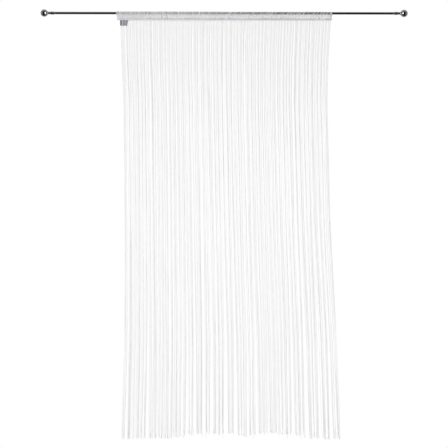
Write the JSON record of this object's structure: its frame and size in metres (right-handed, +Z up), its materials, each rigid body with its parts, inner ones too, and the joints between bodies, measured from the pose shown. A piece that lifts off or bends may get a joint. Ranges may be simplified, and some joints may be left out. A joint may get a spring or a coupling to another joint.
{
  "type": "string curtain with curtain rod",
  "caption": "White string curtain on a thin dark chrome rod with ball finials: a sheer rod-pocket heading tape, with loose strings that gather into bunches towards their cut ends.",
  "frame": {"origin": "the middle of the curtain rod's axis, half way between the two ball finials", "axes": "+X along the rod to the viewer's right, +Z up, -Y towards the viewer in front"},
  "size_m": [1.7188, 0.0348, 2.011],
  "materials": {
    "rod_metal": "dark polished chrome plate",
    "heading_cloth": "sheer white woven polyester, slightly ruched",
    "string_yarn": "soft white twisted polyester yarn",
    "label_cloth": "plain grey woven label tape"
  },
  "bodies": {
    "root": {"rod": "rod_metal", "finial_left": "rod_metal", "finial_right": "rod_metal", "heading_tape": "heading_cloth", "strings": "string_yarn", "label": "label_cloth"}
  },
  "joints": []
}
